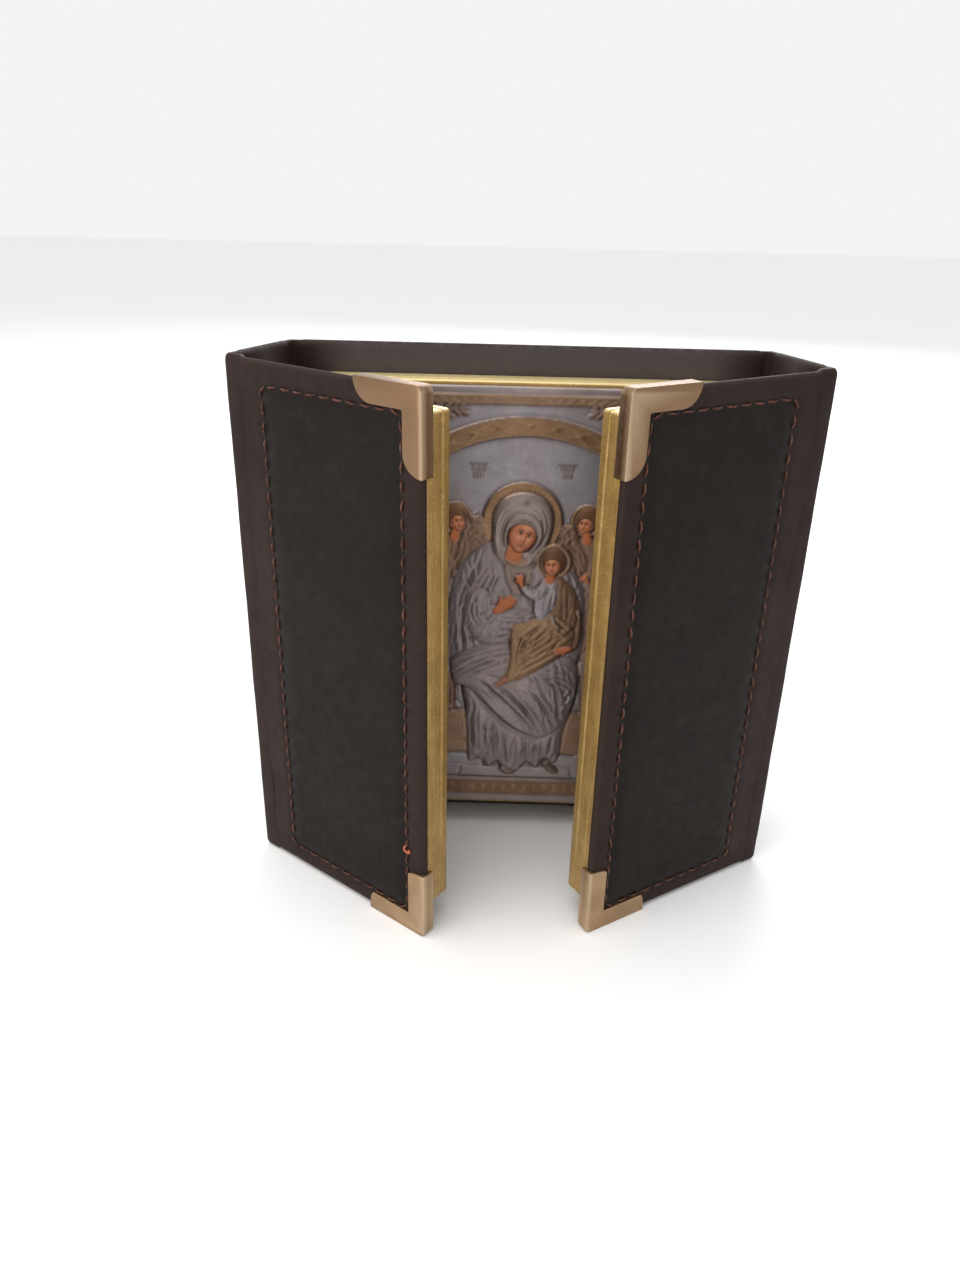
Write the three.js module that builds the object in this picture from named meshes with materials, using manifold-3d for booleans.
// A pocket triptych: three gilt-edged wooden icon blocks, faced with embossed silvered sheets, in a folding
// leather case with brass corners. Five leather-covered boards are joined by soft leather creases: a back,
// two narrow spines and two wings. It stands open, wings forward, on the lower edges of its boards.
// Millimetres, +Z up. The viewer is on the -Y side. The origin is the middle of the back board's foot.
import * as THREE from "three";
import { mergeVertices } from "three/addons/utils/BufferGeometryUtils.js";
import Module from "manifold-3d";

const wasm = await Module();
wasm.setup();

// The case
const COVER_HEIGHT = 120;
const BACK_SPAN = 105.2; // between the two back creases
const SPINE_DEPTH = 21.8; // between a spine's two creases
const MEETING_GAP = 0.8; // left between the closed wings
const BOARD_THICKNESS = 2.2;
const BOARD_CORNER = 1.8;
const LEATHER_EDGE_ROUND = 0.7;
const CREASE_RADIUS = 1.0;
const CREASE_CLEARANCE = 0.3; // from a crease's roll to the boards beside it
const CREASE_SHORTER = 1.0; // a crease stops this far below the cover's ends
const SEAT_GAP = 0.2; // between a piece and what it is glued or clipped to

// How far each joint is folded from flat as the case stands
const LEFT_SPINE_FOLD = 68.5;
const LEFT_WING_FOLD = 74.5;
const RIGHT_SPINE_FOLD = 72;
const RIGHT_WING_FOLD = 75.5;

// The brass corners on the wings' free edges
const BRASS_THICKNESS = 0.35;
const BRASS_ARM = 16.4;
const BRASS_ARM_WIDTH = 4.6;
const BRASS_RETURN = 1.5; // its narrower arms on the inner face, clear of the block
const BRASS_CORNER = 1.4;
const BRASS_EDGE_ROUND = 0.3;

// The stitched line round each cover
const STITCH_FROM_EDGE = 5.2;
const STITCH_FROM_CREASE = 10;
const STITCH_WIDTH = 0.7;
const STITCH_HEIGHT = 0.35;
const STITCH_CORNER = 1.2;

// The icon blocks and their sheets
const BLOCK_FOOT = 5.9; // from the cover's foot to the block's
const CENTRE_BLOCK_HEAD = 6.5; // from the block's top to the cover's
const WING_BLOCK_HEAD = 5.2;
const BLOCK_CORNER = 0.8;
const BLOCK_EDGE_ROUND = 0.6;
const CENTRE_BLOCK_FROM_CREASE = 8.1;
const CENTRE_BLOCK_THICKNESS = 7;
const WING_BLOCK_THICKNESS = 7.2;
const WING_BLOCK_FROM_CREASE = 5.2;
const WING_BLOCK_FROM_BRASS = 0.3; // clear of the brass corners' narrow arms
const SHEET_INSET = 0.9; // gilt edge left showing round a sheet
const SHEET_THICKNESS = 0.6;
const SHEET_MARGIN = 1.7; // plain silver outside the gilt border
const BORDER_WIDTH = 2.4;
const BORDER_HEIGHT = 0.4;

// Relief heights above a sheet
const HALO_RISE = 0.45;
const ARCH_RISE = 0.55;
const THRONE_RISE = 0.6;
const BODY_RISE = 0.95;
const HEAD_RISE = 1.3;
const FOLD_RISE = 1.25;
const RELIEF_ROOT = 0.3; // how deep in the sheet the relief's shapes start

// The arch that frames each scene, and the inscriptions' places under it
const CENTRE_ARCH_RADIUS = 39;
const CENTRE_ARCH_SPRING = 6.7; // above the sheet's middle
const CENTRE_ARCH_BAND = 3.9;
const WING_ARCH_BAND = 2.4;
const WING_ARCH_SPRING = 32;
const LABEL_HEIGHT = 34.3;
const LABEL_SIZE = 3.4;
const LABEL_ROWS = 2;

const WING_LENGTH = BACK_SPAN / 2 - MEETING_GAP / 2;
const BOARD_END = CREASE_RADIUS + CREASE_CLEARANCE;
const BRASS_BUILD = BRASS_THICKNESS + SEAT_GAP;
const HALF_BOARD = BOARD_THICKNESS / 2;
const CENTRE_BLOCK_TOP = COVER_HEIGHT - CENTRE_BLOCK_HEAD;
const WING_BLOCK_TOP = COVER_HEIGHT - WING_BLOCK_HEAD;
const CENTRE_BLOCK_WIDTH = BACK_SPAN - 2 * CENTRE_BLOCK_FROM_CREASE;
const WING_BLOCK_WIDTH = WING_LENGTH - WING_BLOCK_FROM_CREASE - BRASS_RETURN - WING_BLOCK_FROM_BRASS;
const CENTRE_SHEET_WIDTH = CENTRE_BLOCK_WIDTH - 2 * SHEET_INSET;
const WING_SHEET_WIDTH = WING_BLOCK_WIDTH - 2 * SHEET_INSET;
const CENTRE_SHEET_HEIGHT = CENTRE_BLOCK_TOP - BLOCK_FOOT - 2 * SHEET_INSET;
const WING_SHEET_HEIGHT = WING_BLOCK_TOP - BLOCK_FOOT - 2 * SHEET_INSET;
const BORDER_INSET = SHEET_MARGIN + BORDER_WIDTH;
const CENTRE_FIELD_FOOT = -CENTRE_SHEET_HEIGHT / 2 + BORDER_INSET;
const WING_FIELD_FOOT = -WING_SHEET_HEIGHT / 2 + BORDER_INSET;

const leather = new THREE.MeshStandardMaterial({ color: 0x3a2d29, roughness: 0.55, metalness: 0 });
const thread = new THREE.MeshStandardMaterial({ color: 0x6e4032, roughness: 0.8, metalness: 0 });
const brass = new THREE.MeshStandardMaterial({ color: 0xb08d5c, roughness: 0.35, metalness: 1 });
const gilt = new THREE.MeshStandardMaterial({ color: 0xb79443, roughness: 0.45, metalness: 0.6 });
const silver = new THREE.MeshStandardMaterial({ color: 0x8f8a90, roughness: 0.35, metalness: 0.9 });

// A closed geometry as a solid for joining and cutting, and back again.
function solid(geometry) {
  const bare = (geometry.index ? geometry.toNonIndexed() : geometry.clone());
  bare.deleteAttribute("normal");
  bare.deleteAttribute("uv");
  const merged = mergeVertices(bare, 1e-4);
  return new wasm.Manifold(new wasm.Mesh({
    numProp: 3,
    vertProperties: merged.attributes.position.array,
    triVerts: new Uint32Array(merged.index.array),
  }));
}

function geometryOf(made) {
  const mesh = made.getMesh();
  const geometry = new THREE.BufferGeometry();
  geometry.setAttribute("position", new THREE.BufferAttribute(mesh.vertProperties, 3));
  geometry.setIndex(new THREE.BufferAttribute(mesh.triVerts, 1));
  return geometry;
}

// The shapes of the relief are drawn on a sheet: x to the right, y up, z out of the sheet.
// This stands them up, so that they face the viewer.
function standUp(geometry) {
  return geometry.rotateX(Math.PI / 2);
}

function roundedRectangle(left, right, low, high, radius) {
  const shape = new THREE.Shape();
  shape.absarc(right - radius, low + radius, radius, -Math.PI / 2, 0);
  shape.absarc(right - radius, high - radius, radius, 0, Math.PI / 2);
  shape.absarc(left + radius, high - radius, radius, Math.PI / 2, Math.PI);
  shape.absarc(left + radius, low + radius, radius, Math.PI, 1.5 * Math.PI);
  return shape;
}

// A slab with rounded edges, z from 0 to thickness. The bevel grows the outline, so it is drawn smaller.
function slab(left, right, low, high, thickness, corner, edgeRound, segments = 2) {
  const outline = roundedRectangle(
    left + edgeRound, right - edgeRound, low + edgeRound, high - edgeRound, Math.max(corner - edgeRound, 0.05));
  const geometry = new THREE.ExtrudeGeometry(outline, {
    depth: thickness - 2 * edgeRound,
    bevelThickness: edgeRound,
    bevelSize: edgeRound,
    bevelSegments: segments,
    curveSegments: 3,
  });
  return geometry.translate(0, 0, edgeRound);
}

function box(left, right, low, high, back, front) {
  const geometry = new THREE.BoxGeometry(right - left, high - low, front - back);
  return geometry.translate((left + right) / 2, (low + high) / 2, (back + front) / 2);
}

function named(name, geometry, material) {
  const mesh = new THREE.Mesh(geometry, material);
  mesh.name = name;
  return mesh;
}

// A leather-covered board, its inner face towards -Y.
function coverBoard(name, left, right, foot) {
  const board = slab(left, right, foot, COVER_HEIGHT - foot, BOARD_THICKNESS, BOARD_CORNER, LEATHER_EDGE_ROUND);
  return named(name, standUp(board.translate(0, 0, -HALF_BOARD)), leather);
}

// The roll of soft leather that two boards turn about.
function crease(name) {
  const height = COVER_HEIGHT - 2 * CREASE_SHORTER;
  const roll = new THREE.CylinderGeometry(CREASE_RADIUS, CREASE_RADIUS, height, 12);
  return named(name, roll.rotateX(Math.PI / 2).translate(0, 0, COVER_HEIGHT / 2), leather);
}

// The stitched line, a thin ring on a cover's outer face.
function stitching(name, left, right) {
  const low = STITCH_FROM_EDGE;
  const high = COVER_HEIGHT - STITCH_FROM_EDGE;
  const half = STITCH_WIDTH / 2;
  const ring = roundedRectangle(left - half, right + half, low - half, high + half, STITCH_CORNER + half);
  ring.holes.push(roundedRectangle(left + half, right - half, low + half, high - half, STITCH_CORNER - half));
  const line = new THREE.ExtrudeGeometry(ring, { depth: STITCH_HEIGHT, bevelEnabled: false, curveSegments: 3 });
  return named(name, standUp(line.translate(0, 0, -HALF_BOARD - SEAT_GAP - STITCH_HEIGHT)), thread);
}

// A brass corner folded over a wing's free corner. It is made for a top corner on the right and mirrored.
function brassCorner(name, side, isTop) {
  const r = BRASS_CORNER - BRASS_EDGE_ROUND;
  const arm = BRASS_ARM - BRASS_EDGE_ROUND;
  const width = BRASS_ARM_WIDTH - BRASS_EDGE_ROUND;
  const inner = BRASS_EDGE_ROUND;
  const endRound = width - inner;
  const outline = new THREE.Shape();
  outline.absarc(-inner - r, -inner - r, r, 0, Math.PI / 2);
  outline.lineTo(-arm, -inner);
  outline.absarc(-arm + endRound, -inner, endRound, Math.PI, 1.5 * Math.PI);
  outline.lineTo(-width, -width);
  outline.lineTo(-width, -arm + endRound);
  outline.absarc(-inner, -arm + endRound, endRound, Math.PI, 1.5 * Math.PI);
  const thickness = BOARD_THICKNESS + 2 * BRASS_BUILD;
  const plate = new THREE.ExtrudeGeometry(outline, {
    depth: thickness - 2 * BRASS_EDGE_ROUND,
    bevelThickness: BRASS_EDGE_ROUND,
    bevelSize: BRASS_EDGE_ROUND,
    bevelSegments: 1,
    curveSegments: 4,
  }).translate(0, 0, BRASS_EDGE_ROUND - thickness / 2);
  const gripped = HALF_BOARD + SEAT_GAP;
  const pocket = box(-2 * BRASS_ARM, -BRASS_THICKNESS, -2 * BRASS_ARM, -BRASS_THICKNESS, -gripped, gripped);
  const cut = box(-2 * BRASS_ARM, -BRASS_RETURN, -2 * BRASS_ARM, -BRASS_RETURN, 0, thickness);
  let corner = solid(plate).subtract(solid(pocket)).subtract(solid(cut));
  if (side < 0) corner = corner.mirror([1, 0, 0]);
  if (!isTop) corner = corner.mirror([0, 1, 0]);
  const geometry = geometryOf(corner).translate(side * WING_LENGTH, isTop ? COVER_HEIGHT : 0, 0);
  return named(name, standUp(geometry), brass);
}

// A wooden block with gilt edges, its back against the board's inner face.
function iconBlock(name, left, right, top, thickness) {
  const block = slab(left, right, BLOCK_FOOT, top, thickness, BLOCK_CORNER, BLOCK_EDGE_ROUND, 1);
  return named(name, standUp(block.translate(0, 0, HALF_BOARD + SEAT_GAP)), gilt);
}

// Relief shapes. Each is a whole closed form, centred at the sheet's surface, and its lower half is cut off later.
function flattened(geometry, x, y, rise, turn = 0) {
  return solid(geometry.scale(1, 1, rise).rotateZ(turn).translate(x, y, SHEET_THICKNESS));
}

function dome(x, y, halfWidth, halfHeight, rise, turn = 0) {
  const ball = new THREE.SphereGeometry(1, 8, 6).rotateX(Math.PI / 2);
  return flattened(ball.scale(halfWidth, halfHeight, 1), x, y, rise, turn);
}

// A tapering limb or fold from one point to another, round at both ends.
function limb(x1, y1, r1, x2, y2, r2, rise) {
  const length = Math.hypot(x2 - x1, y2 - y1);
  const profile = [[0, -r1], [r1, -0.2 * r1], [r2, length + 0.2 * r2], [0, length + r2]];
  const large = Math.max(r1, r2) > 3;
  if (large) profile.splice(1, 1, [0.75 * r1, -0.65 * r1], [r1, 0.1 * r1]);
  const sides = large ? 8 : 6;
  const form = new THREE.LatheGeometry(profile.map(([x, y]) => new THREE.Vector2(x, y)), sides);
  const turn = Math.atan2(y2 - y1, x2 - x1) - Math.PI / 2;
  return flattened(form, x1, y1, rise / Math.max(r1, r2), turn);
}

function plate(left, right, low, high, rise) {
  return solid(box(left, right, low, high, 0, SHEET_THICKNESS + rise));
}

// A flat ring or disc, from one angle to another.
function band(x, y, outer, inner, rise, from = 0, to = 2 * Math.PI) {
  const shape = new THREE.Shape();
  shape.absarc(x, y, outer, from, to);
  const whole = to - from > 6;
  if (inner > 0 && whole) {
    const hole = new THREE.Path();
    hole.absarc(x, y, inner, 0, 2 * Math.PI);
    shape.holes.push(hole);
  } else if (inner > 0) {
    shape.absarc(x, y, inner, to, from, true);
  }
  const segments = Math.round(3 + 1.2 * Math.sqrt(outer));
  return solid(new THREE.ExtrudeGeometry(shape, {
    depth: SHEET_THICKNESS + rise, bevelEnabled: false, curveSegments: segments,
  }));
}

// A haloed head: a ring, a veil or head of hair, and a face with a plain oval form.
function haloedHead(x, y, haloRadius, headRadius, lean) {
  return [
    band(x, y, haloRadius, 0, HALO_RISE * 0.5),
    band(x, y, haloRadius, haloRadius * 0.76, HALO_RISE),
    dome(x, y - 0.1 * headRadius, headRadius, 1.2 * headRadius, HEAD_RISE * 0.85, lean),
    dome(x + Math.sin(-lean) * headRadius * 0.3, y - 0.35 * headRadius, 0.55 * headRadius, 0.78 * headRadius,
      HEAD_RISE * 1.2, lean),
  ];
}

// Evenly fanned folds between two lines, as in a skirt.
function skirtFolds(count, topLeft, topRight, topY, footLeft, footRight, footY, width) {
  const folds = [];
  for (let i = 0; i < count; i += 1) {
    const t = count > 1 ? i / (count - 1) : 0.5;
    const top = topLeft + t * (topRight - topLeft);
    const foot = footLeft + t * (footRight - footLeft);
    folds.push(limb(top, topY, width * 0.6, foot, footY, width, FOLD_RISE));
  }
  return folds;
}

// The mother on her throne, with the child on her knee.
const MOTHER = { headX: -0.4, headY: 22.7, halo: 8.9, head: 5.9 };
const CHILD = { headX: 6.9, headY: 13.4, halo: 4.2, head: 2.6 };

function enthronedMother() {
  const hem = CENTRE_FIELD_FOOT + 4;
  return [
    ...haloedHead(MOTHER.headX, MOTHER.headY, MOTHER.halo, MOTHER.head, -0.12),
    dome(-0.5, 5, 13, 13, BODY_RISE), // mantle over the shoulders
    limb(-9, 10, 4.2, -12.5, -3, 4.6, BODY_RISE + 0.1), // upper arms
    limb(9, 10, 4, 13.5, -4, 4.4, BODY_RISE + 0.1),
    limb(-12, -2, 3.6, -5.5, 2, 2.2, FOLD_RISE), // forearm and pointing hand
    limb(-4.8, 2.2, 1.5, -0.8, 8, 1.1, FOLD_RISE + 0.15),
    limb(-11, -15, 6.6, 11, -14, 6.8, BODY_RISE + 0.25), // lap and knees
    limb(-10.5, -16, 6.4, -9.5, hem, 5.2, BODY_RISE),
    limb(10.5, -15, 6.6, 8.5, hem, 5.4, BODY_RISE),
    limb(-15, -8, 1.5, 6, -29, 1.2, FOLD_RISE + 0.1), // the mantle's edge, swept across the knees
    limb(-16, -13, 1.4, 2, -32, 1.1, FOLD_RISE),
    ...skirtFolds(4, -8, 8, -30, -10, 10, hem - 1, 1.3),
    limb(-8.5, hem - 1.5, 1.7, -5, hem - 2.6, 1.1, FOLD_RISE + 0.1), // shoes
    limb(7.5, hem - 1.5, 1.7, 10.5, hem - 2.8, 1.1, FOLD_RISE + 0.1),
  ];
}

function seatedChild() {
  return [
    ...haloedHead(CHILD.headX, CHILD.headY, CHILD.halo, CHILD.head, 0.1),
    limb(7.2, 7, 3.6, 8, -4, 4.6, FOLD_RISE + 0.2),
    limb(8.5, -4, 4.2, -0.5, -13, 2.6, FOLD_RISE + 0.25), // knees and skirts, down to the left
    limb(4.6, 7.5, 1.3, -0.4, 8.4, 0.9, FOLD_RISE + 0.3), // the raised arm
    dome(9.7, -8.4, 1.7, 1.4, FOLD_RISE + 0.35, 0.5), // the mother's hand that holds the child
  ];
}

function throne() {
  const postTop = 13;
  const parts = [plate(-15.5, 15.5, CENTRE_FIELD_FOOT, CENTRE_FIELD_FOOT + 3, THRONE_RISE)];
  for (const side of [-1, 1]) {
    const left = Math.min(side * 17.6, side * 20.4);
    parts.push(plate(left, left + 2.8, CENTRE_FIELD_FOOT + 3, postTop, THRONE_RISE * 0.75));
    parts.push(dome(side * 19, postTop + 1.6, 1.9, 2.1, THRONE_RISE));
    parts.push(limb(side * 12, -16.5, 2.2, side * 21, -16.5, 2.2, THRONE_RISE)); // the cushion's end
    parts.push(plate(left - 1.2, left + 4, CENTRE_FIELD_FOOT, CENTRE_FIELD_FOOT + 9, THRONE_RISE * 0.9));
  }
  return parts;
}

// A winged attendant beside the throne. side is -1 on the left.
function attendant(side) {
  const hem = CENTRE_FIELD_FOOT + 3.5;
  const parts = haloedHead(side * 15.6, 22.6, 4.7, 2.9, side * 0.15);
  parts.push(limb(side * 18.5, 12.5, 5, side * 23.5, -8, 6.2, BODY_RISE * 0.8));
  parts.push(limb(side * 24, -8, 5.8, side * 25, hem, 5.2, BODY_RISE * 0.7));
  parts.push(limb(side * 16.5, 12, 2.1, side * 21, 1, 2, BODY_RISE)); // the arm over the breast
  parts.push(limb(side * 22, 15.5, 2.4, side * 29.5, 16.5, 3.4, BODY_RISE * 0.7)); // the wing's shoulder
  parts.push(limb(side * 30, 15.5, 3.2, side * 32.5, -14, 1.4, BODY_RISE * 0.6));
  for (let feather = 0; feather < 2; feather += 1) {
    const x = side * (28.4 + 3 * feather);
    parts.push(limb(x, 8 - feather, 0.9, x + side * 0.6, -10 + 4 * feather, 0.7, BODY_RISE * 0.85));
  }
  parts.push(...skirtFolds(2, side * 21.5, side * 26, -12, side * 22, side * 28, hem, 1.2));
  return parts;
}

// Three leaves that fill each corner above the arch.
function cornerLeaves(cornerX, cornerY, side) {
  const leaves = [];
  for (const [angle, length] of [[0.12, 9], [0.75, 7], [1.4, 8]]) {
    const x = cornerX - side * Math.cos(angle) * length;
    const y = cornerY - Math.sin(angle) * length;
    leaves.push(limb(cornerX - side * 2.4, cornerY - 2.4, 1.3, x, y, 0.7, HALO_RISE * 1.2));
  }
  return leaves;
}

// Rows of shallow strokes where the inscriptions stand.
function labelStrokes(x, y, size, rows) {
  const strokes = [];
  for (let row = 0; row < rows; row += 1) {
    const width = size * (1 - 0.16 * row);
    const low = y + size / 2 - (row + 1) * (size / rows);
    strokes.push(plate(x - width / 2, x + width / 2, low, low + 0.55 * (size / rows), 0.12));
  }
  return strokes;
}

// The raised gilt border that runs round a sheet.
function border(halfWidth, halfHeight) {
  const outer = roundedRectangle(-halfWidth, halfWidth, -halfHeight, halfHeight, 0.3);
  outer.holes.push(roundedRectangle(
    -halfWidth + BORDER_WIDTH, halfWidth - BORDER_WIDTH, -halfHeight + BORDER_WIDTH, halfHeight - BORDER_WIDTH, 0.3));
  return solid(new THREE.ExtrudeGeometry(outer, {
    depth: SHEET_THICKNESS + BORDER_HEIGHT, bevelEnabled: false, curveSegments: 1,
  }));
}

// An arch on two columns.
function arch(radius, spring, bandWidth, foot) {
  const parts = [band(0, spring, radius, radius - bandWidth, ARCH_RISE, 0, Math.PI)];
  for (const side of [-1, 1]) {
    const left = side > 0 ? radius - bandWidth : -radius;
    parts.push(plate(left, left + bandWidth, foot, spring + 0.05, ARCH_RISE));
  }
  return parts;
}

// Joins a sheet and its relief in one solid, and cuts off what would stand behind the sheet.
function embossedSheet(name, width, height, centreX, blockThickness, relief) {
  const halfWidth = width / 2;
  const halfHeight = height / 2;
  const ceiling = 10 * FOLD_RISE;
  let raised = border(halfWidth - SHEET_MARGIN, halfHeight - SHEET_MARGIN);
  for (const form of relief) raised = raised.add(form);
  raised = raised.intersect(solid(box(-halfWidth, halfWidth, -halfHeight, halfHeight, RELIEF_ROOT, ceiling)));
  const sheet = solid(slab(-halfWidth, halfWidth, -halfHeight, halfHeight, SHEET_THICKNESS, BLOCK_CORNER, 0.1, 1));
  const front = HALF_BOARD + 2 * SEAT_GAP + blockThickness;
  const middle = BLOCK_FOOT + SHEET_INSET + halfHeight;
  const geometry = geometryOf(sheet.add(raised)).translate(centreX, middle, front);
  return named(name, standUp(geometry), silver);
}

function centreScene() {
  const spandrelX = CENTRE_SHEET_WIDTH / 2 - BORDER_INSET;
  const spandrelY = CENTRE_SHEET_HEIGHT / 2 - BORDER_INSET;
  return [
    ...arch(CENTRE_ARCH_RADIUS, CENTRE_ARCH_SPRING, CENTRE_ARCH_BAND, CENTRE_FIELD_FOOT),
    ...cornerLeaves(-spandrelX, spandrelY, -1),
    ...cornerLeaves(spandrelX, spandrelY, 1),
    ...labelStrokes(-10.3, LABEL_HEIGHT, LABEL_SIZE, LABEL_ROWS),
    ...labelStrokes(9, LABEL_HEIGHT, LABEL_SIZE, LABEL_ROWS),
    ...throne(),
    ...attendant(-1),
    ...attendant(1),
    ...enthronedMother(),
    ...seatedChild(),
  ];
}

// A robed saint who turns to the centre. side is -1 on the left wing.
function wingScene(side) {
  const hem = WING_FIELD_FOOT + 6;
  const archRadius = WING_SHEET_WIDTH / 2 - BORDER_INSET - 0.4;
  const corner = WING_SHEET_WIDTH / 2 - BORDER_INSET;
  return [
    ...arch(archRadius, WING_ARCH_SPRING, WING_ARCH_BAND, WING_FIELD_FOOT),
    ...labelStrokes(-8.5, LABEL_HEIGHT - 6, 2.8, LABEL_ROWS),
    ...labelStrokes(8.5, LABEL_HEIGHT - 6, 2.8, LABEL_ROWS),
    ...haloedHead(-side * 0.6, 23, 6.6, 4, side * 0.1),
    limb(0, 10, 7.6, side * 0.8, -12, 8.4, BODY_RISE),
    limb(side * 0.6, -12, 7.8, side * 0.8, hem, 6.6, BODY_RISE * 0.9),
    limb(side * 6.5, 11, 2.6, side * 7.5, -1, 2.6, BODY_RISE + 0.15),
    limb(side * 7, -1, 2.2, -side * 1.5, 4.5, 1.4, FOLD_RISE),
    limb(-side * 6.5, 11, 2.6, -side * 6.8, -2, 2.6, BODY_RISE + 0.15),
    limb(side * 6, 0, 1.4, -side * 5, -22, 1.2, FOLD_RISE),
    limb(side * 7, -8, 1.3, -side * 4, -30, 1.1, FOLD_RISE),
    ...skirtFolds(3, -5, 6, -20, -5.5, 6.5, hem, 1.2),
    plate(-corner, corner, WING_FIELD_FOOT, WING_FIELD_FOOT + 2.4, THRONE_RISE * 0.5),
  ];
}

function backPanel() {
  const half = BACK_SPAN / 2;
  const group = new THREE.Group();
  group.add(coverBoard("back_cover", -half + BOARD_END, half - BOARD_END, 0));
  group.add(stitching("back_stitching", -half + STITCH_FROM_CREASE, half - STITCH_FROM_CREASE));
  const blockHalf = CENTRE_BLOCK_WIDTH / 2;
  group.add(iconBlock("centre_block", -blockHalf, blockHalf, CENTRE_BLOCK_TOP, CENTRE_BLOCK_THICKNESS));
  group.add(embossedSheet(
    "centre_icon", CENTRE_SHEET_WIDTH, CENTRE_SHEET_HEIGHT, 0, CENTRE_BLOCK_THICKNESS, centreScene()));
  return group;
}

// The wing, drawn flat from its crease at x = 0 outwards to one side.
function wing(word, side) {
  const ends = (near, far) => (side < 0 ? [-far, -near] : [near, far]);
  const blockEnds = ends(WING_BLOCK_FROM_CREASE, WING_BLOCK_FROM_CREASE + WING_BLOCK_WIDTH);
  const middle = (blockEnds[0] + blockEnds[1]) / 2;
  const group = new THREE.Group();
  group.add(coverBoard(`${word}_wing_cover`, ...ends(BOARD_END, WING_LENGTH - BRASS_BUILD), BRASS_BUILD));
  group.add(stitching(`${word}_stitching`, ...ends(STITCH_FROM_CREASE, WING_LENGTH - STITCH_FROM_EDGE)));
  group.add(iconBlock(`${word}_block`, ...blockEnds, WING_BLOCK_TOP, WING_BLOCK_THICKNESS));
  group.add(embossedSheet(
    `${word}_icon`, WING_SHEET_WIDTH, WING_SHEET_HEIGHT, middle, WING_BLOCK_THICKNESS, wingScene(side)));
  group.add(brassCorner(`${word}_top_corner`, side, true));
  group.add(brassCorner(`${word}_bottom_corner`, side, false));
  return group;
}

// A spine with its wing, drawn flat beside the back and then folded forward.
function foldedSide(word, side, spineFold, wingFold) {
  const spine = new THREE.Group();
  spine.position.x = side * BACK_SPAN / 2;
  spine.rotation.z = -side * THREE.MathUtils.degToRad(spineFold);
  const ends = side < 0 ? [-SPINE_DEPTH + BOARD_END, -BOARD_END] : [BOARD_END, SPINE_DEPTH - BOARD_END];
  spine.add(crease(`${word}_back_crease`));
  spine.add(coverBoard(`${word}_spine_cover`, ...ends, 0));
  const outer = new THREE.Group();
  outer.position.x = side * SPINE_DEPTH;
  outer.rotation.z = -side * THREE.MathUtils.degToRad(wingFold);
  outer.add(crease(`${word}_wing_crease`));
  outer.add(wing(word, side));
  spine.add(outer);
  return spine;
}

const triptych = new THREE.Group();
triptych.add(backPanel());
triptych.add(foldedSide("left", -1, LEFT_SPINE_FOLD, LEFT_WING_FOLD));
triptych.add(foldedSide("right", 1, RIGHT_SPINE_FOLD, RIGHT_WING_FOLD));

export default triptych;
